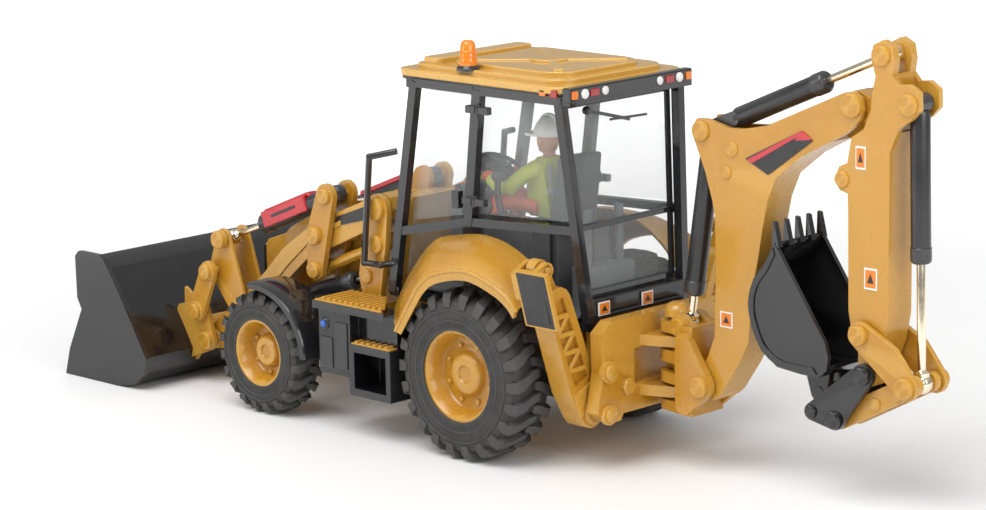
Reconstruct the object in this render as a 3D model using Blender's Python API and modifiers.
"""Toy backhoe loader, 1:50 die-cast style, built as separate jointed pieces.

Frame: +X is the machine's left, -Y is its front (loader end), +Y its rear (hoe end), +Z up.
The shapes are drawn in millimetres about the rear axle line (Y = 0 there, Z = 0 on the ground)
and are written out in metres, moved along Y by Y_SHIFT so that the origin lies at the
bottom centre of the whole toy's box.
"""
import math

import bmesh
import bpy
from mathutils import Matrix, Vector

MM = 0.001
Y_SHIFT = 9.1            # moves the rear axle line to +Y so the box is centred on the origin

# ---- driving dimensions, mm -------------------------------------------------
REAR_TYRE_R, REAR_TYRE_X = 12.87, (12.7, 21.1)
FRONT_TYRE_R, FRONT_TYRE_X = 9.79, (15.5, 21.2)
REAR_RIM_R, FRONT_RIM_R = 7.1, 5.5
WHEELBASE = 44.0
KINGPIN_X = 12.6          # steering axis
LOADER_X = 10.5           # centre plane of each loader arm
BUCKET_HALF_WIDTH = 24.0
BOOM_HALF_WIDTH = 2.7
HOE_BUCKET_HALF_WIDTH = 5.5
CAB_HALF_WIDTH = 12.7

# pivots, (Y, Z) in mm
P_ARM, Q_LEVEL, T_LIFT = (-24.5, 33.9), (-24.7, 28.4), (-27.0, 23.1)
M_LEVER = (-38.7, 28.0)
N_LEVEL = (M_LEVER[0] + Q_LEVEL[0] - P_ARM[0], M_LEVER[1] + Q_LEVEL[1] - P_ARM[1])
S_TILT, U_TILT, V_LEVER = (-36.2, 34.5), (-61.3, 24.5), (-56.5, 11.0)
W_LINK, K_LINK, T_BUCKET, A_LIFT = (-63.2, 19.2), (-66.3, 12.3), (-65.0, 7.4), (-50.5, 15.2)
F_BOOM, G_BOOM, TOP_BOOM = (32.6, 13.4), (27.4, 21.2), (32.0, 50.4)
NOSE, CROWD_EYE, BUCKET_CYL = (59.1, 56.7), (64.0, 63.9), (68.6, 57.6)
A_HOE, R_HOE, T_HOE, D_HOE = (61.2, 25.15), (69.2, 18.9), (61.9, 19.5), (57.0, 12.5)
SWING_Y = 25.0            # vertical swing axis at X = 0
STAB_X, STAB_Z = 11.4, 8.8
PAD_X, PAD_Z = 20.6, 31.2

for old in list(bpy.data.objects):
    bpy.data.objects.remove(old, do_unlink=True)

MODEL = bpy.data.collections.new("toy_backhoe_loader")
bpy.context.scene.collection.children.link(MODEL)

# ---- materials --------------------------------------------------------------
LOOKS = {
    "yellow_paint": ((0.78, 0.42, 0.05, 1), 0.38, 0.0),
    "black_gloss": ((0.02, 0.02, 0.022, 1), 0.22, 0.0),
    "dark_grey": ((0.06, 0.06, 0.063, 1), 0.45, 0.0),
    "tyre_rubber": ((0.035, 0.036, 0.037, 1), 0.75, 0.0),
    "chrome": ((0.85, 0.8, 0.68, 1), 0.15, 1.0),
    "clear_glazing": ((0.8, 0.84, 0.86, 0.3), 0.05, 0.0),
    "amber_lens": ((0.95, 0.45, 0.03, 0.85), 0.15, 0.0),
    "grey_plastic": ((0.2, 0.21, 0.22, 1), 0.55, 0.0),
    "figure_paint": ((0.75, 0.72, 0.12, 1), 0.6, 0.0),
}
MATERIALS = {}
for slot, (colour, rough, metal) in LOOKS.items():
    mat = bpy.data.materials.new(slot)
    mat.use_nodes = True
    shader = mat.node_tree.nodes["Principled BSDF"]
    shader.inputs["Base Color"].default_value = colour
    shader.inputs["Roughness"].default_value = rough
    shader.inputs["Metallic"].default_value = metal
    shader.inputs["Alpha"].default_value = colour[3]
    MATERIALS[slot] = mat


# ---- drawing helpers (millimetres) -------------------------------------------
def link_temp(mesh, name="tmp"):
    obj = bpy.data.objects.new(name, mesh)
    bpy.context.scene.collection.objects.link(obj)
    return obj


def baked(obj, weld=5e-4):
    """The evaluated object as a clean mesh object."""
    bpy.context.view_layer.update()
    graph = bpy.context.evaluated_depsgraph_get()
    mesh = bpy.data.meshes.new_from_object(obj.evaluated_get(graph))
    mesh.transform(obj.matrix_world)
    bpy.data.objects.remove(obj, do_unlink=True)
    bm = bmesh.new()
    bm.from_mesh(mesh)
    bmesh.ops.remove_doubles(bm, verts=bm.verts, dist=weld)
    bmesh.ops.dissolve_degenerate(bm, edges=bm.edges, dist=1e-5)
    bmesh.ops.recalc_face_normals(bm, faces=bm.faces)
    bm.to_mesh(mesh)
    bm.free()
    return link_temp(mesh)


def ring(c, r, n=14, a0=0.0):
    return [(c[0] + r * math.cos(a0 + 2 * math.pi * i / n), c[1] + r * math.sin(a0 + 2 * math.pi * i / n)) for i in range(n)]


def hull2(*circles, n=14):
    """Outline round several circles (centre, radius)."""
    pts = sorted({(round(x, 5), round(y, 5)) for c, r in circles for x, y in ring(c, r, n)})

    def half(seq):
        out = []
        for p in seq:
            while len(out) > 1 and (out[-1][0] - out[-2][0]) * (p[1] - out[-2][1]) - (out[-1][1] - out[-2][1]) * (p[0] - out[-2][0]) <= 1e-9:
                out.pop()
            out.append(p)
        return out[:-1]

    return half(pts) + half(pts[::-1])


AXES = {
    "X": Matrix(((0, 0, 1, 0), (1, 0, 0, 0), (0, 1, 0, 0), (0, 0, 0, 1))),
    "Y": Matrix(((1, 0, 0, 0), (0, 0, -1, 0), (0, 1, 0, 0), (0, 0, 0, 1))),
    "Z": Matrix.Identity(4),
}


def plate(outline, lo, hi, normal="X", holes=()):
    """A flat outline, as a filled 2D curve, from lo to hi along its normal."""
    lo, hi = min(lo, hi), max(lo, hi)
    curve = bpy.data.curves.new("outline", "CURVE")
    curve.dimensions = "2D"
    curve.fill_mode = "BOTH"
    curve.extrude = (hi - lo) / 2
    for pts in [outline] + [ring(c, r, 12) for c, r in holes]:
        spline = curve.splines.new("POLY")
        spline.points.add(len(pts) - 1)
        for point, (u, v) in zip(spline.points, pts):
            point.co = (u, v, 0, 1)
        spline.use_cyclic_u = True
    obj = bpy.data.objects.new("outline", curve)
    bpy.context.scene.collection.objects.link(obj)
    middle = (lo + hi) / 2
    shift = {"X": Vector((middle, 0, 0)), "Y": Vector((0, middle, 0)), "Z": Vector((0, 0, middle))}[normal]
    obj.matrix_world = Matrix.Translation(shift) @ AXES[normal]
    return baked(obj)


def box(x0, x1, y0, y1, z0, z1):
    bm = bmesh.new()
    bmesh.ops.create_cube(bm, size=1.0)
    mesh = bpy.data.meshes.new("box")
    for v in bm.verts:
        v.co = Vector(((x0 + x1) / 2 + v.co.x * abs(x1 - x0), (y0 + y1) / 2 + v.co.y * abs(y1 - y0), (z0 + z1) / 2 + v.co.z * abs(z1 - z0)))
    bm.to_mesh(mesh)
    bm.free()
    return link_temp(mesh)


def rod(p, q, r, n=12, r2=None):
    """A round bar from p to q."""
    p, q = Vector(p), Vector(q)
    bm = bmesh.new()
    bmesh.ops.create_cone(bm, cap_ends=True, segments=n, radius1=r, radius2=r if r2 is None else r2, depth=(q - p).length)
    turn = (q - p).to_track_quat("Z", "Y").to_matrix().to_4x4()
    bmesh.ops.transform(bm, matrix=Matrix.Translation((p + q) / 2) @ turn, verts=bm.verts)
    mesh = bpy.data.meshes.new("rod")
    bm.to_mesh(mesh)
    bm.free()
    return link_temp(mesh)


def pin(yz, x0, x1, r, n=12):
    return rod((min(x0, x1), yz[0], yz[1]), (max(x0, x1), yz[0], yz[1]), r, n)


def block(points):
    """The convex solid round a few corner points: tapered bars, wedges and teeth."""
    bm = bmesh.new()
    for p in points:
        bm.verts.new(p)
    bmesh.ops.convex_hull(bm, input=bm.verts)
    loose = [v for v in bm.verts if not v.link_faces]
    bmesh.ops.delete(bm, geom=loose, context="VERTS")
    bmesh.ops.recalc_face_normals(bm, faces=bm.faces)
    mesh = bpy.data.meshes.new("block")
    bm.to_mesh(mesh)
    bm.free()
    return link_temp(mesh)


def bar(p, q, w, h):
    """A square bar from p to q, w along X and h across it."""
    p, q = Vector(p), Vector(q)
    d = (q - p).normalized()
    side = Vector((1, 0, 0)) if abs(d.x) < 0.9 else Vector((0, 1, 0))
    side = (side - d * side.dot(d)).normalized()
    up = d.cross(side).normalized()
    ends = []
    for end in (p - d * 0.35 * min(w, h), q + d * 0.35 * min(w, h)):
        for a in (-0.5, 0.5):
            for b in (-0.5, 0.5):
                ends.append(end + side * w * a + up * h * b)
    return block(ends)


def ball(c, r, sx=1.0, sy=1.0, sz=1.0, u=10, v=7):
    bm = bmesh.new()
    bmesh.ops.create_uvsphere(bm, u_segments=u, v_segments=v, radius=r)
    for vert in bm.verts:
        vert.co = Vector((c[0] + vert.co.x * sx, c[1] + vert.co.y * sy, c[2] + vert.co.z * sz))
    mesh = bpy.data.meshes.new("ball")
    bm.to_mesh(mesh)
    bm.free()
    return link_temp(mesh)


def turned(profile, centre, axis="X", steps=24, sign=1):
    """A profile of (distance along the axis, radius) turned round the axis with a Screw modifier."""
    mesh = bpy.data.meshes.new("profile")
    mesh.from_pydata([(r, 0, a * sign) for a, r in profile], [(i, i + 1) for i in range(len(profile) - 1)], [])
    obj = link_temp(mesh)
    if profile[0] != profile[-1] and (profile[0][1] > 1e-6 or profile[-1][1] > 1e-6):
        raise ValueError("a turned profile closes on its axis or on itself")
    screw = obj.modifiers.new("turn", "SCREW")
    screw.steps = steps
    screw.render_steps = steps
    screw.use_merge_vertices = True
    screw.merge_threshold = 1e-4
    swing = Matrix.Rotation(math.pi / 2, 4, "Y") if axis == "X" else Matrix.Identity(4)
    obj.matrix_world = Matrix.Translation(Vector(centre)) @ swing
    return baked(obj, 1e-4)


def boolean(base, others, how):
    for other in others:
        mod = base.modifiers.new(how, "BOOLEAN")
        mod.operation = how
        mod.solver = "EXACT"
        mod.object = other
    out = baked(base, 1e-4)
    for other in others:
        bpy.data.objects.remove(other, do_unlink=True)
    return out


def node(name, parts, slot, axis_point=(0, 0, 0), cuts=(), bevel=0.0):
    """One named piece: its shapes joined, its openings cut, its origin on its joint's axis."""
    obj = parts[0] if len(parts) == 1 else boolean(parts[0], list(parts[1:]), "UNION")
    if cuts:
        obj = boolean(obj, list(cuts), "DIFFERENCE")
    mesh = obj.data
    mesh.transform(Matrix.Scale(MM, 4) @ Matrix.Translation((-axis_point[0], -axis_point[1], -axis_point[2])))
    obj.name = mesh.name = name
    obj.location = (axis_point[0] * MM, (axis_point[1] + Y_SHIFT) * MM, axis_point[2] * MM)
    mesh.materials.clear()
    mesh.materials.append(MATERIALS[slot])
    if bevel:
        mod = obj.modifiers.new("edges", "BEVEL")
        mod.width = bevel * MM
        mod.segments = 1
        mod.limit_method = "ANGLE"
        mod.angle_limit = math.radians(40)
    bpy.context.scene.collection.objects.unlink(obj)
    MODEL.objects.link(obj)
    mesh.shade_smooth()
    mesh.set_sharp_from_angle(angle=math.radians(35))
    return obj


def on(p, q, t):
    """The point t mm from p towards q, in the YZ plane."""
    d = math.hypot(q[0] - p[0], q[1] - p[1])
    return (p[0] + (q[0] - p[0]) * t / d, p[1] + (q[1] - p[1]) * t / d)


def at(x, yz):
    return (x, yz[0], yz[1])


SIDES = (("left", 1), ("right", -1))

# ---- chassis ------------------------------------------------------------------
frame_parts = [
    box(-5.4, 5.4, -55.6, -19.0, 12.2, 16.5),
    box(-9.4, 9.4, -20.5, 13.9, 9.0, 19.6),
    rod((-12.1, 0, REAR_TYRE_R), (12.1, 0, REAR_TYRE_R), 2.6, 14),
    rod((-15.6, 0, REAR_TYRE_R), (15.6, 0, REAR_TYRE_R), 1.0, 12),
    box(-2.0, 2.0, -48.6, -47.4, 8.2, 12.6),
    box(-2.0, 2.0, -40.6, -39.4, 8.2, 12.6),
    rod((0, -48.4, FRONT_TYRE_R), (0, -39.6, FRONT_TYRE_R), 0.8, 12),
]
for side, s in SIDES:
    tower = hull2((P_ARM, 2.3), (Q_LEVEL, 2.0), (T_LIFT, 1.8), ((-26.0, 18.4), 1.6))
    frame_parts += [plate(tower, s * 7.4, s * 8.7), plate(tower, s * 12.1, s * 13.2)]
    frame_parts += [block([(s * x, y, z) for x in (4.6, 13.2) for y in (-28.0, -23.6) for z in (13.6, 16.7)])]
    frame_parts += [block([(s * x, y, z) for x in (7.2, 13.2) for y in (-28.0, -23.6) for z in (16.2, 19.2)])]
    frame_parts += [pin(P_ARM, s * 7.9, s * 12.9, 0.8), pin(Q_LEVEL, s * 7.9, s * 12.9, 0.6), pin(T_LIFT, s * 7.9, s * 12.9, 0.6)]
    frame_parts += [pin(P_ARM, s * 13.0, s * 13.7, 1.6), pin(Q_LEVEL, s * 13.0, s * 13.6, 1.4)]
node("main_frame", frame_parts, "yellow_paint")

hood = plate([(-53.2, 17.0), (-53.2, 25.2), (-51.5, 26.8), (-45.0, 30.0), (-38.0, 32.6), (-24.4, 34.6), (-24.4, 17.0)], -6.8, 6.8)
grille = plate([(-58.4, 17.0), (-58.4, 23.0), (-57.6, 24.0), (-53.0, 25.6), (-53.0, 17.0)], -6.2, 6.2)
node("engine_hood", [hood, grille], "yellow_paint")

for side, s in SIDES:
    parts = [
        block([(s * x, y, z) for x in (13.7, 21.4) for y in (-29.3, -22.3) for z in (9.2, 19.4)]),
        plate([(s * 13.7, -30.2), (s * 21.9, -30.2), (s * 21.9, -14.3), (s * 14.0, -22.2), (s * 13.7, -22.2)][::s], 19.2, 20.4, "Z"),
        block([(s * x, y, z) for x in (15.3, 19.6) for y in (-22.6, -13.8) for z in (13.2, 19.4)]),
        block([(s * x, y, z) for x in (15.3, 21.5) for y in (-22.6, -13.6) for z in (6.6, 14.6)]),
        block([(s * x, y, z) for x in (9.7, 14.2) for y in (-22.4, -20.9) for z in (10.0, 14.0)]),
    ]
    cuts = [block([(s * x, y, z) for x in (16.2, 23.0) for y in (-21.5, -14.6) for z in (7.8, 13.4)])]
    node(f"side_steps_{side}", parts, "black_gloss", cuts=cuts)

# ---- cab ------------------------------------------------------------------------
A_TOP, A_LOW = (CAB_HALF_WIDTH, -15.7, 54.2), (12.4, -21.7, 21.6)
B_TOP, B_LOW = (CAB_HALF_WIDTH, -2.4, 54.2), (12.4, -5.0, 34.2)
C_TOP, C_LOW = (CAB_HALF_WIDTH, 14.0, 54.2), (10.3, 16.8, 22.0)
BELT_A, BELT_C = (12.45, -18.9, 31.2), (11.35, 15.55, 35.2)


def mirrored(p, s):
    return (p[0] * s, p[1], p[2])


cab = [box(-9.9, 9.9, -20.6, 15.6, 20.1, 21.0), box(-12.9, 12.9, -22.3, -20.4, 20.8, 22.2), box(-10.2, 10.2, 15.3, 17.2, 20.1, 24.8)]
for s in (1, -1):
    run = [(A_TOP, A_LOW, 1.3, 1.5), (B_TOP, B_LOW, 1.3, 1.7), (C_TOP, C_LOW, 1.3, 1.5), (A_TOP, C_TOP, 1.3, 1.3), (BELT_A, B_LOW, 1.2, 1.3), (B_LOW, BELT_C, 1.2, 1.3)]
    for p, q, w, h in run:
        cab.append(bar(mirrored(p, s), mirrored(q, s), w, h))
    handle = [(12.6, -20.3, 43.2), (14.7, -24.2, 42.2), (14.7, -25.9, 25.6), (14.7, -22.3, 25.7), (12.6, -21.3, 25.8)]
    for p, q in zip(handle, handle[1:]):
        cab.append(rod(mirrored(p, s), mirrored(q, s), 0.5, 8))
    for p in handle[1:4]:
        cab.append(ball(mirrored(p, s), 0.55, u=8, v=5))
cab += [bar((-CAB_HALF_WIDTH, -15.7, 54.2), (CAB_HALF_WIDTH, -15.7, 54.2), 1.3, 1.3), bar((-CAB_HALF_WIDTH, 14.0, 54.2), (CAB_HALF_WIDTH, 14.0, 54.2), 1.3, 1.3)]
cab += [block([(x, y, z) for x in (-13.2, 13.2) for y in (14.2, 16.4) for z in (53.6, 54.9)])]
node("cab_frame", cab, "black_gloss")

roof = plate([(-12.2, -19.4), (12.2, -19.4), (13.6, -18.0), (13.6, 13.4), (12.2, 15.0), (-12.2, 15.0), (-13.6, 13.4), (-13.6, -18.0)], 55.2, 56.5, "Z")
crown = block([(s * x, y, z) for s in (-1, 1) for x, y0, y1, z in ((9.9, -17.4, 13.4, 56.3), (8.6, -15.8, 11.6, 57.9)) for y in (y0, y1)])
node("cab_roof", [roof, crown], "yellow_paint")
node("beacon", [turned([(0, 0), (0, 1.5), (0.9, 1.5), (1.1, 1.35), (3.9, 1.15), (4.3, 0.8), (4.3, 0)], (11.4, -6.0, 56.8), "Z", 16)], "amber_lens", (11.4, -6.0, 56.8))

pane = 0.45
glazing = []
for s in (1, -1):
    glazing.append(plate([(-14.7, 53.2), (12.4, 53.2), (13.4, 44.0), (14.1, 36.3), (-5.0, 35.3), (-18.2, 32.7)], s * 11.0, s * (11.0 + pane)))
screen = [(-14.9, 53.2), (-14.4, 53.2), (-19.7, 23.0), (-20.2, 23.0)]
glazing.append(plate(screen, -11.45, 11.45))
back_glass = block([(s * x, y, z) for s in (-1, 1) for x, y, z in ((11.45, 12.0, 53.2), (11.45, 12.45, 53.2), (9.2, 15.05, 25.3), (9.2, 14.6, 25.3))])
glazing.append(back_glass)
node("cab_glazing", glazing, "clear_glazing")

inside = [
    box(-8.8, 8.8, -19.0, 13.6, 21.4, 22.0),
    box(-3.6, 3.6, -3.2, 4.4, 21.8, 33.3),
    block([(x, y, z) for x in (-3.6, 3.6) for y, z in ((2.9, 32.8), (5.4, 32.8), (4.9, 43.6), (6.7, 43.6))]),
    box(4.8, 8.6, -6.0, 4.0, 21.8, 34.0),
    box(-8.6, -4.8, -6.0, 4.0, 21.8, 32.0),
    bar((0, -17.2, 22.0), (0, -11.6, 38.6), 1.8, 1.8),
    rod((0, -11.9, 38.9), (0, -11.2, 40.0), 3.0, 14),
    box(-5.0, 5.0, -16.8, -14.2, 21.8, 35.6),
    rod((3.4, 10.4, 21.8), (3.4, 10.4, 36.5), 0.7, 8),
    rod((-3.4, 10.4, 21.8), (-3.4, 10.4, 36.5), 0.7, 8),
    box(-5.0, 5.0, 8.6, 12.0, 21.8, 28.0),
]
node("cab_interior", inside, "grey_plastic")

person = [
    block([(x * w, y, z) for x in (-1, 1) for w, y, z in ((2.2, -2.9, 33.9), (2.2, 1.9, 33.9), (2.9, -2.4, 41.2), (2.9, 1.2, 41.2), (1.6, -1.6, 43.0), (1.6, 0.8, 43.0))]),
    ball((0, -0.5, 45.4), 2.0, sz=1.15), ball((0, -0.3, 47.0), 2.5, sz=0.92), rod((0, -0.4, 42.6), (0, -0.4, 44.6), 1.0, 10),
    rod((1.6, -0.6, 35.3), (2.2, -8.8, 35.6), 1.4, 10), rod((-1.6, -0.6, 35.3), (-2.2, -8.8, 35.6), 1.4, 10),
    rod((2.2, -8.6, 35.2), (2.6, -10.6, 26.4), 1.1, 8), rod((-2.2, -8.6, 35.2), (-2.6, -10.6, 26.4), 1.1, 8),
    rod((3.0, -0.6, 41.4), (4.3, -4.8, 37.6), 1.1, 8), rod((4.3, -4.8, 37.6), (3.9, -10.2, 38.6), 0.95, 8), ball((4.3, -4.8, 37.6), 1.15, u=8, v=5),
    rod((-3.0, -0.6, 41.4), (-4.3, -4.8, 37.6), 1.1, 8), rod((-4.3, -4.8, 37.6), (-3.9, -10.2, 38.6), 0.95, 8), ball((-4.3, -4.8, 37.6), 1.15, u=8, v=5),
]
node("operator_figure", person, "figure_paint")


# ---- rear fenders: a lofted sheet given thickness ------------------------------------
def sheet(rows, thickness):
    mesh = bpy.data.meshes.new("sheet")
    n = len(rows[0])
    verts = [p for row in rows for p in row]
    faces = [(i * n + j, i * n + j + 1, (i + 1) * n + j + 1, (i + 1) * n + j) for i in range(len(rows) - 1) for j in range(n - 1)]
    mesh.from_pydata(verts, [], faces)
    obj = link_temp(mesh)
    mod = obj.modifiers.new("thick", "SOLIDIFY")
    mod.thickness = thickness
    mod.offset = 0
    return baked(obj, 1e-4)


FENDER_OUT = [(-11.4, 20.6), (-9.6, 22.6), (-6.4, 27.0), (-2.8, 29.2), (3.4, 30.2), (9.4, 28.6), (12.2, 26.9), (13.7, 25.2)]
FENDER_IN = [(-19.4, 21.2), (-16.9, 25.0), (-11.6, 30.8), (-6.2, 32.2), (0.0, 32.8), (5.6, 31.6), (10.2, 28.8), (13.0, 25.6)]
for side, s in SIDES:
    rows = []
    for (yo, zo), (yi, zi) in zip(FENDER_OUT, FENDER_IN):
        centre = (1.0, 14.0)
        drop = (yo - (yo - centre[0]) * 0.11, zo - (zo - centre[1]) * 0.13)
        rows.append([(s * 13.6, yi, zi), (s * 18.6, yo + (yi - yo) * 0.42, zo + (zi - zo) * 0.45 + 0.35), (s * 21.8, yo, zo), (s * 22.0, drop[0], drop[1])])
    node(f"rear_fender_{side}", [sheet(rows, 0.8)], "yellow_paint")

# ---- wheels ------------------------------------------------------------------------------


def wheel(tag, side, s, centre, x_in, x_out, r, rim_r, steps, bore):
    w = x_out - x_in
    tread = [(x_in, rim_r), (x_in, r * 0.9), (x_in + 0.13 * w, r), (x_out - 0.13 * w, r), (x_out, r * 0.9), (x_out, rim_r), (x_in, rim_r)]
    node(f"tyre_{tag}_{side}", [turned(tread, (0, centre[0], centre[1]), "X", steps, s)], "tyre_rubber", (s * (x_in + x_out) / 2, centre[0], centre[1]))
    g = rim_r - 0.25
    disc = [(x_in + 0.6, g), (x_out - 0.15, g), (x_out - 0.15, g - 0.75), (x_out - 2.4, g - 1.3), (x_out - 2.9, g * 0.48), (x_out - 1.5, g * 0.40), (x_out - 1.5, 0),
            (x_out - 3.0, 0), (x_out - 3.0, bore), (x_in + 0.6, bore), (x_in + 0.6, g)]
    closed = [(x_in + 0.6, bore), (x_in + 0.6, g)] + disc[1:7] + [(x_out - 3.4, 0), (x_out - 3.4, bore), (x_in + 0.6, bore)]
    # the rim is open at its hub's inner bore, which takes the axle stub
    profile = [(x_out - 1.5, 0)] + disc[5:0:-1] + [(x_in + 0.6, g), (x_in + 0.6, bore), (x_out - 3.4, bore), (x_out - 3.4, 0)]
    node(f"rim_{tag}_{side}", [turned(profile, (0, centre[0], centre[1]), "X", steps - 4, s)], "yellow_paint", (s * (x_in + x_out) / 2, centre[0], centre[1]))


for side, s in SIDES:
    wheel("rear", side, s, (0.0, REAR_TYRE_R), REAR_TYRE_X[0], REAR_TYRE_X[1], REAR_TYRE_R, REAR_RIM_R, 28, 1.3)
    wheel("front", side, s, (-WHEELBASE, FRONT_TYRE_R), FRONT_TYRE_X[0], FRONT_TYRE_X[1], FRONT_TYRE_R, FRONT_RIM_R, 28, 1.1)

# ---- front axle and steering ------------------------------------------------------------
axle_z = FRONT_TYRE_R
axle = [rod((-11.4, -WHEELBASE, axle_z), (11.4, -WHEELBASE, axle_z), 1.1, 12), box(-2.4, 2.4, -46.8, -41.2, 8.3, 11.3)]
for s in (1, -1):
    axle.append(rod((s * KINGPIN_X, -WHEELBASE, 8.9), (s * KINGPIN_X, -WHEELBASE, 10.7), 1.2, 12))
    axle.append(rod((s * KINGPIN_X, -WHEELBASE, 7.6), (s * KINGPIN_X, -WHEELBASE, 12.0), 0.5, 10))
    axle.append(rod((s * 11.0, -WHEELBASE, axle_z), (s * KINGPIN_X, -WHEELBASE, axle_z), 0.85, 12))
node("front_axle", axle, "dark_grey", (0, -WHEELBASE, axle_z), cuts=[rod((0, -48, axle_z), (0, -40, axle_z), 1.0, 12)])

FENDER_R = 11.3
for side, s in SIDES:
    fork = [
        block([(s * x, y, z) for x in (11.6, 14.9) for y in (-45.1, -42.9) for z in (11.0, 11.9)]),
        block([(s * x, y, z) for x in (11.6, 14.9) for y in (-45.1, -42.9) for z in (7.7, 8.6)]),
        block([(s * x, y, z) for x in (14.1, 14.9) for y in (-45.1, -42.9) for z in (7.7, 11.9)]),
        rod((s * 14.5, -WHEELBASE, axle_z), (s * 17.4, -WHEELBASE, axle_z), 0.85, 12),
    ]
    arc = []
    for i in range(8):
        a = math.radians(98 - i * 13.5)
        arc.append((-WHEELBASE + FENDER_R * math.cos(a), axle_z + FENDER_R * math.sin(a)))
    rows = [[(s * 14.6, y, z), (s * 21.5, y, z)] for y, z in arc]
    fork.append(sheet(rows, 0.7))
    fork.append(block([(s * x, y, z) for x in (14.2, 14.9) for y, z in ((-45.0, 11.6), (-43.0, 11.6), (-42.6, 21.0), (-38.6, 20.0))]))
    node(f"front_fender_{side}", fork, "black_gloss", (s * KINGPIN_X, -WHEELBASE, axle_z),
         cuts=[rod((s * KINGPIN_X, -WHEELBASE, 7.0), (s * KINGPIN_X, -WHEELBASE, 12.6), 0.7, 12)])

# ---- loader ---------------------------------------------------------------------------
ARM = [(-24.5, 36.2), (-34.2, 32.2), (-40.0, 29.8), (-47.8, 24.6), (-52.3, 20.2), (-58.0, 15.4), (-62.0, 12.4), (-66.2, 9.2), (-66.7, 7.4), (-65.0, 5.7),
       (-61.0, 6.4), (-57.0, 8.2), (-53.6, 10.9), (-52.3, 13.4), (-51.4, 13.4), (-49.6, 13.6), (-48.8, 15.2), (-49.2, 17.2), (-48.6, 18.2), (-45.0, 21.3), (-42.0, 23.8), (-38.5, 25.3),
       (-33.85, 27.3), (-24.5, 31.5), (-22.9, 32.2), (-22.2, 33.9), (-22.9, 35.6)]
arm_holes = [(P_ARM, 1.0), (M_LEVER, 1.0), (V_LEVER, 0.9), (T_BUCKET, 1.0), (A_LIFT, 0.0)]
arm_parts, arm_cuts = [], []
for s in (1, -1):
    arm_parts.append(plate(ARM, s * 9.2, s * 11.8, holes=[h for h in arm_holes if h[1]]))
    arm_parts.append(pin(A_LIFT, s * 9.5, s * 11.5, 0.6))
    arm_cuts.append(block([(s * x, y, z) for x in (9.9, 11.1) for y in (-53.0, -45.8) for z in (12.0, 17.6)]))
arm_parts.append(pin((-62.9, 8.6), -9.6, 9.6, 1.2))
arm_plain = boolean(arm_parts[0], arm_parts[1:], "UNION")
arm_slots = boolean(arm_plain, arm_cuts, "DIFFERENCE")
node("loader_arm", [arm_slots, pin(A_LIFT, 9.5, 11.5, 0.55), pin(A_LIFT, -11.5, -9.5, 0.55)], "yellow_paint", (0, *P_ARM))

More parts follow.
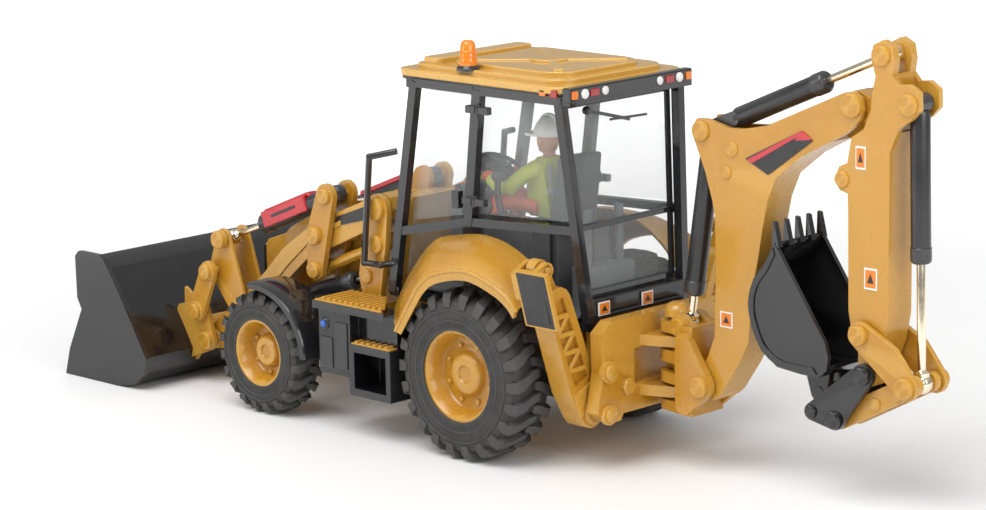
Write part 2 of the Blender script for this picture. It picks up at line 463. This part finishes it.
for side, s in SIDES:
    lever = hull2((S_TILT, 1.9), (M_LEVER, 1.9), (N_LEVEL, 1.7))
    node(f"rear_lever_{side}", [
        plate(lever, s * 7.8, s * 8.8), plate(lever, s * 12.15, s * 13.2),
        pin(M_LEVER, s * 8.2, s * 12.8, 0.8), pin(N_LEVEL, s * 8.2, s * 12.8, 0.6), pin(S_TILT, s * 8.2, s * 12.8, 0.6),
        pin(M_LEVER, s * 13.0, s * 13.8, 1.25), pin(N_LEVEL, s * 13.0, s * 13.8, 1.25), pin(S_TILT, s * 13.0, s * 13.6, 1.25),
    ], "yellow_paint", (s * LOADER_X, *M_LEVER))
    node(f"level_link_{side}", [
        rod(at(s * LOADER_X, on(N_LEVEL, Q_LEVEL, 0.6)), at(s * LOADER_X, on(Q_LEVEL, N_LEVEL, 0.6)), 0.9, 10),
        pin(N_LEVEL, s * 9.6, s * 11.4, 1.3), pin(Q_LEVEL, s * 9.6, s * 11.4, 1.3),
    ], "yellow_paint", (s * LOADER_X, *Q_LEVEL), cuts=[pin(N_LEVEL, s * 9, s * 12, 0.8), pin(Q_LEVEL, s * 9, s * 12, 0.8)])
    node(f"tilt_link_{side}", [plate(hull2((W_LINK, 1.7), (K_LINK, 1.75)), s * 13.9, s * 14.7, holes=[(W_LINK, 0.8), (K_LINK, 1.15)])],
         "yellow_paint", (s * 14.3, *W_LINK))
    node(f"tilt_pin_{side}", [pin(U_TILT, s * 7.6, s * 13.2, 0.45), pin(U_TILT, s * 12.9, s * 13.6, 1.2)], "yellow_paint", (s * LOADER_X, *U_TILT))
    # tilt cylinder
    end = on(S_TILT, U_TILT, 18.8)
    node(f"tilt_barrel_{side}", [
        rod(at(s * LOADER_X, on(S_TILT, U_TILT, 0.9)), at(s * LOADER_X, end), 1.5, 14), pin(S_TILT, s * 9.5, s * 11.5, 1.4),
    ], "dark_grey", (s * LOADER_X, *S_TILT), cuts=[
        pin(S_TILT, s * 9, s * 12, 0.8), rod(at(s * LOADER_X, on(S_TILT, U_TILT, 3.0)), at(s * LOADER_X, on(S_TILT, U_TILT, 21.0)), 1.27, 14)])
    node(f"tilt_rod_{side}", [
        rod(at(s * LOADER_X, on(U_TILT, S_TILT, 0.8)), at(s * LOADER_X, on(U_TILT, S_TILT, 14.6)), 0.3, 8), pin(U_TILT, s * 9.6, s * 11.4, 1.1),
    ], "chrome", (s * LOADER_X, *U_TILT), cuts=[pin(U_TILT, s * 9, s * 12, 0.65)])
    # lift cylinder
    node(f"lift_barrel_{side}", [
        rod(at(s * LOADER_X, on(A_LIFT, T_LIFT, 3.7)), at(s * LOADER_X, on(A_LIFT, T_LIFT, 19.4)), 1.4, 14),
        plate(hull2((A_LIFT, 1.2), (on(A_LIFT, T_LIFT, 4.3), 0.9)), s * 10.1, s * 10.9),
    ], "dark_grey", (s * LOADER_X, *A_LIFT), cuts=[
        pin(A_LIFT, s * 9, s * 12, 0.8), rod(at(s * LOADER_X, on(A_LIFT, T_LIFT, 5.2)), at(s * LOADER_X, on(A_LIFT, T_LIFT, 21.0)), 1.2, 14)])
    node(f"lift_rod_{side}", [
        rod(at(s * LOADER_X, on(T_LIFT, A_LIFT, 0.8)), at(s * LOADER_X, on(T_LIFT, A_LIFT, 17.0)), 0.3, 8), pin(T_LIFT, s * 9.6, s * 11.4, 1.1),
    ], "chrome", (s * LOADER_X, *T_LIFT), cuts=[pin(T_LIFT, s * 9, s * 12, 0.75)])

# the front levers and the torque shaft they are fixed to
levers = [pin(V_LEVER, -12.4, 12.4, 0.7)]
lever_cuts = []
for s in (1, -1):
    for a, b in ((8.15, 8.8), (12.1, 12.75)):
        levers.append(plate(hull2((U_TILT, 1.7), (W_LINK, 1.7), (V_LEVER, 1.5)), s * a, s * b))
    levers.append(pin(W_LINK, s * 12.4, s * 14.9, 0.6))
    levers.append(pin(W_LINK, s * 14.85, s * 15.3, 1.2))
    lever_cuts.append(pin(U_TILT, s * 7.6, s * 13.0, 0.65))
node("front_levers", levers, "yellow_paint", (0, *V_LEVER), cuts=lever_cuts)

# loader bucket: bent shell, side plates, and the carrier ears on its back
SHELL_OUT = [(-89.0, 0.0), (-74.6, 0.0), (-71.4, 1.2), (-69.3, 3.2), (-68.6, 5.6), (-70.6, 9.0), (-74.7, 15.0), (-78.7, 20.2), (-80.2, 21.0)]
SHELL_IN = [(-80.0, 20.0), (-79.4, 19.6), (-75.5, 14.6), (-71.5, 8.6), (-69.8, 5.6), (-70.3, 3.9), (-72.0, 2.2), (-74.8, 1.0), (-88.6, 0.8)]
SIDE_PLATE = [(-89.3, 0.0), (-76.0, 0.0), (-71.2, 0.9), (-68.8, 3.0), (-68.2, 5.6), (-74.3, 15.3), (-78.2, 20.6), (-79.2, 21.3), (-84.6, 21.3), (-85.5, 20.4), (-85.4, 13.4), (-84.4, 11.6), (-88.0, 4.4)]
bucket = [plate(SHELL_OUT + SHELL_IN, -23.6, 23.6)]
for s in (1, -1):
    bucket.append(plate(SIDE_PLATE, s * 23.1, s * BUCKET_HALF_WIDTH))
    bucket.append(plate(hull2((T_BUCKET, 1.7), (K_LINK, 1.5), ((-71.0, 11.4), 1.3), ((-69.2, 5.0), 1.0)), s * 12.95, s * 13.65))
    bucket.append(pin(T_BUCKET, s * 9.0, s * 13.3, 0.8))
    bucket.append(pin(K_LINK, s * 13.3, s * 15.0, 0.45))
    bucket.append(pin(K_LINK, s * 14.9, s * 15.3, 0.9))
node("loader_bucket", bucket, "black_gloss", (0, *T_BUCKET))

# ---- rear frame and swing frame ----------------------------------------------------------
rear = [
    box(-8.2, 8.2, 14.3, 21.4, 8.4, 19.7),
    plate([(-11.0, 7.4), (-8.6, 7.4), (-7.0, 10.2), (7.0, 10.2), (8.6, 7.4), (11.0, 7.4), (13.6, 9.2), (12.4, 15.2), (12.6, 20.8), (10.4, 22.4), (-10.4, 22.4), (-12.6, 20.8), (-12.4, 15.2), (-13.6, 9.2)], 19.2, 21.4, "Y"),
    plate(hull2(((0, SWING_Y), 2.7), ((-3.6, 21.0), 0.8), ((3.6, 21.0), 0.8)), 17.9, 19.5, "Z"),
    plate(hull2(((0, SWING_Y), 2.7), ((-3.6, 21.0), 0.8), ((3.6, 21.0), 0.8)), 10.4, 12.0, "Z"),
    rod((0, SWING_Y, 8.6), (0, SWING_Y, 23.6), 0.9, 12),
]
for s in (1, -1):
    rear += [rod((s * 11.3, 21.2, 15.2), (s * 11.3, 22.0, 15.2), 1.7, 12), rod((s * STAB_X, 13.9, STAB_Z), (s * STAB_X, 22.0, STAB_Z), 0.8, 12), rod((s * STAB_X, 21.2, STAB_Z), (s * STAB_X, 22.0, STAB_Z), 1.5, 12)]
cavity = [box(-5.6, 5.6, 19.6, 22.0, 12.4, 17.6)]
rear_obj = boolean(rear[0], rear[1:4] + rear[5:], "UNION")
rear_obj = boolean(rear_obj, cavity, "DIFFERENCE")
node("rear_frame", [rear_obj, rear[4]], "yellow_paint")

swing = []
for z0, z1 in ((20.0, 21.6), (15.6, 17.4), (12.5, 14.1), (8.4, 9.9)):
    swing.append(plate(hull2(((0, SWING_Y), 2.6), ((-2.9, 29.4), 0.6), ((2.9, 29.4), 0.6)), z0, z1, "Z"))
swing.append(box(-3.4, 3.4, 28.4, 30.6, 8.4, 21.6))
for s in (1, -1):
    swing.append(plate(hull2((F_BOOM, 2.0), ((29.4, 10.0), 1.4), ((29.4, 19.4), 1.4)), s * 3.0, s * 4.2))
    swing.append(plate(hull2((G_BOOM, 1.7), ((26.2, 20.7), 0.6), ((29.6, 20.7), 0.8)), s * 1.2, s * 2.6))
swing.append(pin(F_BOOM, -4.6, 4.6, 0.9))
swing_body = boolean(boolean(swing[0], swing[1:], "UNION"), [box(-1.15, 1.15, 25.9, 28.95, 19.8, 24.0), rod((0, SWING_Y, 7.0), (0, SWING_Y, 25.0), 1.15, 12)], "DIFFERENCE")
node("swing_frame", [swing_body, pin(G_BOOM, -2.5, 2.5, 0.6)], "yellow_paint", (0, SWING_Y, 15.0))

# ---- boom ------------------------------------------------------------------------------------
BOOM = [(34.3, 20.8), (34.6, 30.4), (34.5, 38.2), (34.0, 40.5), (32.7, 44.6), (30.5, 49.4), (30.3, 50.8), (31.2, 52.1), (33.1, 52.2), (37.1, 51.3), (40.0, 51.5), (43.9, 52.3), (57.8, 58.3), (59.3, 58.6),
        (60.6, 57.8), (61.0, 56.2), (60.4, 54.7), (58.2, 52.7), (50.2, 48.6), (45.8, 45.2), (44.2, 41.7), (43.3, 37.8), (42.4, 33.0), (41.5, 28.9), (40.6, 20.7), (38.6, 17.0), (35.4, 12.4), (34.2, 11.4), (31.6, 11.5), (30.9, 12.6),
        (31.0, 14.8), (33.0, 17.6)]
boom = plate(BOOM, -BOOM_HALF_WIDTH, BOOM_HALF_WIDTH, holes=[(F_BOOM, 1.1)])
boom_cuts = [
    plate([(28.0, 38.6), (34.9, 38.6), (34.9, 45.6), (37.6, 48.6), (43.5, 50.6), (44.5, 54.0), (28.0, 54.0)], -1.85, 1.85),
    plate([(55.2, 51.0), (62.5, 51.0), (62.5, 60.0), (55.2, 60.0)], -1.9, 1.9),
]
boom = boolean(boom, boom_cuts, "DIFFERENCE")
node("boom", [boom, pin(TOP_BOOM, -2.9, 2.9, 0.55), pin(NOSE, -2.9, 2.9, 0.75)], "yellow_paint", (0, *F_BOOM))

node("boom_barrel", [
    rod(at(0, on(TOP_BOOM, G_BOOM, 3.4)), at(0, on(TOP_BOOM, G_BOOM, 25.0)), 1.5, 14),
    plate(hull2((TOP_BOOM, 1.15), (on(TOP_BOOM, G_BOOM, 4.0), 0.9)), -0.55, 0.55),
], "dark_grey", (0, *TOP_BOOM), cuts=[pin(TOP_BOOM, -2, 2, 0.75), rod(at(0, on(TOP_BOOM, G_BOOM, 5.0)), at(0, on(TOP_BOOM, G_BOOM, 26.0)), 1.27, 14)])
node("boom_rod", [
    rod(at(0, on(G_BOOM, TOP_BOOM, 0.8)), at(0, on(G_BOOM, TOP_BOOM, 16.0)), 0.35, 8), pin(G_BOOM, -0.9, 0.9, 1.2),
], "chrome", (0, *G_BOOM), cuts=[pin(G_BOOM, -2, 2, 0.8)])

# ---- stick -------------------------------------------------------------------------------------
STICK = [(62.2, 56.3), (61.0, 53.6), (58.9, 52.2), (58.2, 48.6), (56.8, 48.0), (55.9, 46.1), (57.0, 44.7), (58.3, 44.4), (58.4, 41.5), (58.5, 28.0), (59.1, 25.0), (60.2, 22.6), (60.3, 19.4), (61.3, 17.9), (62.6, 17.9),
         (63.5, 19.4), (63.6, 21.6), (64.6, 24.0), (65.4, 28.0), (65.5, 50.8), (67.0, 54.2), (69.2, 55.6), (70.5, 56.9), (70.4, 59.4), (68.8, 60.4), (67.0, 60.2), (65.9, 61.4), (66.2, 63.2), (65.8, 65.2), (64.2, 66.0), (62.6, 65.2), (62.2, 63.4), (63.0, 61.0), (62.4, 58.6)]
stick = boolean(plate(STICK, -2.6, 2.6, holes=[(A_HOE, 1.0), (T_HOE, 1.0)]), [
    plate([(61.4, 60.9), (66.9, 61.6), (66.9, 67.0), (61.4, 67.0)], -1.3, 1.3),
    plate([(66.3, 53.6), (71.5, 53.6), (71.5, 61.0), (66.3, 61.0)], -1.75, 1.75),
], "DIFFERENCE")
tongue = plate(hull2((NOSE, 1.9), ((62.6, 55.4), 1.8)), -1.6, 1.6)
node("stick", [boolean(stick, [tongue], "UNION"), pin(CROWD_EYE, -2.2, 2.2, 0.55), pin(BUCKET_CYL, -2.2, 2.2, 0.55)], "yellow_paint", (0, *NOSE), cuts=[pin(NOSE, -3, 3, 0.95)])

crowd_dir = CROWD_EYE
crowd = [rod(at(0, on(TOP_BOOM, crowd_dir, 4.6)), at(0, on(TOP_BOOM, crowd_dir, 22.6)), 1.5, 14)]
for s in (1, -1):
    crowd.append(plate(hull2((TOP_BOOM, 1.2), (on(TOP_BOOM, crowd_dir, 5.2), 1.1)), s * 0.8, s * 1.5))
node("crowd_barrel", crowd, "dark_grey", (0, *TOP_BOOM), cuts=[pin(TOP_BOOM, -2, 2, 0.75), rod(at(0, on(TOP_BOOM, crowd_dir, 6.2)), at(0, on(TOP_BOOM, crowd_dir, 24.0)), 1.27, 14)])
node("crowd_rod", [
    rod(at(0, on(crowd_dir, TOP_BOOM, 0.8)), at(0, on(crowd_dir, TOP_BOOM, 17.8)), 0.35, 8), pin(crowd_dir, -1.0, 1.0, 1.2),
], "chrome", (0, *CROWD_EYE), cuts=[pin(crowd_dir, -2, 2, 0.75)])

node("bucket_barrel", [
    rod(at(0, on(BUCKET_CYL, R_HOE, 0.6)), at(0, on(BUCKET_CYL, R_HOE, 22.0)), 1.4, 14), pin(BUCKET_CYL, -1.4, 1.4, 1.4),
], "dark_grey", (0, *BUCKET_CYL), cuts=[pin(BUCKET_CYL, -2, 2, 0.75), rod(at(0, on(BUCKET_CYL, R_HOE, 3.0)), at(0, on(BUCKET_CYL, R_HOE, 24.0)), 1.15, 14)])
node("bucket_rod", [
    rod(at(0, on(R_HOE, BUCKET_CYL, 0.8)), at(0, on(R_HOE, BUCKET_CYL, 24.0)), 0.4, 8), pin(R_HOE, -1.0, 1.0, 1.35),
], "chrome", (0, *R_HOE), cuts=[pin(R_HOE, -2, 2, 0.85)])

lever = [pin(R_HOE, -4.0, 4.0, 0.65), pin(A_HOE, -4.0, 4.0, 0.75)]
for s in (1, -1):
    lever.append(plate(hull2((A_HOE, 1.9), ((66.6, 23.2), 1.2), (R_HOE, 1.9)), s * 2.85, s * 3.75))
node("bucket_lever", lever, "yellow_paint", (0, *A_HOE))
# the two link plates, joined by the sleeve on the coupler's pin
link = [plate(hull2((R_HOE, 1.5), (D_HOE, 1.6)), s * 1.4, s * 2.5) for s in (1, -1)]
link.append(pin(D_HOE, -1.6, 1.6, 1.45))
node("bucket_link", link, "yellow_paint", (0, *R_HOE), cuts=[pin(R_HOE, -3, 3, 0.85), pin(D_HOE, -3, 3, 1.15)])

H1, H2 = (57.0, 20.6), (53.2, 15.6)
coupler = [pin(T_HOE, -3.9, 3.9, 0.75), pin(D_HOE, -3.9, 3.9, 0.5), pin((52.9, 12.9), -3.4, 3.4, 0.9)]
for s in (1, -1):
    coupler.append(plate(hull2((T_HOE, 1.7), (D_HOE, 1.5), ((52.9, 13.0), 1.2)), s * 2.9, s * 3.8))
node("hoe_coupler", coupler, "black_gloss", (0, *T_HOE))

HOE_OUT = [(47.7, 36.6), (46.0, 33.6), (43.9, 31.0), (42.9, 27.4), (43.6, 24.0), (45.3, 20.9), (48.2, 19.0), (52.5, 18.6), (55.6, 18.6), (57.0, 19.8), (57.3, 21.6), (56.7, 23.7)]
HOE_IN = [(48.2, 36.9), (46.6, 33.2), (44.6, 30.7), (43.7, 27.4), (44.3, 24.3), (45.8, 21.6), (48.4, 19.8), (52.5, 19.4), (55.2, 19.4), (56.2, 20.2), (58.5, 20.6), (60.0, 24.0), (51.0, 37.6)]
hoe = boolean(plate(HOE_OUT, -HOE_BUCKET_HALF_WIDTH, HOE_BUCKET_HALF_WIDTH), [plate(HOE_IN, -4.8, 4.8)], "DIFFERENCE")
hoe_parts = [hoe]
for i in range(5):
    x = -4.9 + i * 2.45
    hoe_parts.append(block([(x + a, y, z) for a, y, z in ((-0.5, 47.2, 35.6), (0.5, 47.2, 35.6), (-0.5, 48.4, 36.0), (0.5, 48.4, 36.0), (-0.3, 47.2, 39.6), (0.3, 47.2, 39.6), (-0.3, 47.7, 39.5), (0.3, 47.7, 39.5))]))
for s in (1, -1):
    hoe_parts.append(plate(hull2((H2, 1.4), ((51.4, 19.0), 0.7), ((54.6, 19.0), 0.7)), s * 1.4, s * 2.5))
hoe_parts.append(pin(H2, -2.6, 2.6, 0.9))
node("hoe_bucket", hoe_parts, "black_gloss", (0, *T_HOE))

# ---- stabilisers -------------------------------------------------------------------------------
for side, s in SIDES:
    foot, top = (s * STAB_X, STAB_Z), (s * PAD_X, PAD_Z)
    tilt = math.atan2(top[0] - foot[0], top[1] - foot[1])
    across = (s * math.cos(tilt) * 2.6, -s * math.sin(tilt) * 2.6)

    def along(t, o):
        return (foot[0] + (top[0] - foot[0]) * t + across[0] * o * 1.0, foot[1] + (top[1] - foot[1]) * t + across[1] * o * 1.0)

    beam = plate(hull2((foot, 2.5), (along(0.2, 0.1), 2.8), (along(0.76, -0.15), 2.4)), 14.6, 18.4, "Y")
    head = plate(hull2((along(0.72, -0.2), 1.3), (top, 1.5)), 15.6, 17.3, "Y")
    window = plate([along(0.22, 0.62), along(0.22, -0.52), along(0.78, -0.52), along(0.78, 0.62)][::s], 17.6, 19.0, "Y")
    leg = boolean(boolean(beam, [head], "UNION"), [window], "DIFFERENCE")
    leg = boolean(leg, [rod((s * STAB_X, 14.0, STAB_Z), (s * STAB_X, 19.0, STAB_Z), 1.05, 12)], "DIFFERENCE")
    node(f"stabiliser_leg_{side}", [leg, rod((top[0], 14.3, top[1]), (top[0], 18.7, top[1]), 0.6, 10)], "yellow_paint", (s * STAB_X, 16.5, STAB_Z))
    out = (math.cos(tilt), -math.sin(tilt)) if s > 0 else (-math.cos(tilt), math.sin(tilt))
    down = (-math.sin(tilt), -math.cos(tilt))

    def pad_point(a, o):
        """a mm down the leg from the pad pivot, o mm outwards."""
        return (top[0] + down[0] * a + out[0] * o, top[1] + down[1] * a + out[1] * o)

    plate_pts = [pad_point(-1.4, 2.4), pad_point(-1.4, 3.1), pad_point(7.2, 4.2), pad_point(7.2, 3.5)]
    if s < 0:
        plate_pts = plate_pts[::-1]
    pad = [plate(plate_pts, 15.2, 21.4, "Y")]
    for y0, y1 in ((14.4, 15.25), (17.7, 18.6)):
        pad.append(plate(hull2((top, 1.2), (pad_point(-0.6, 2.8), 0.4), (pad_point(3.0, 3.3), 0.4)), y0, y1, "Y"))
    node(f"stabiliser_pad_{side}", pad, "yellow_paint", (top[0], 16.5, top[1]), cuts=[rod((top[0], 13.0, top[1]), (top[0], 20.0, top[1]), 0.8, 12)])
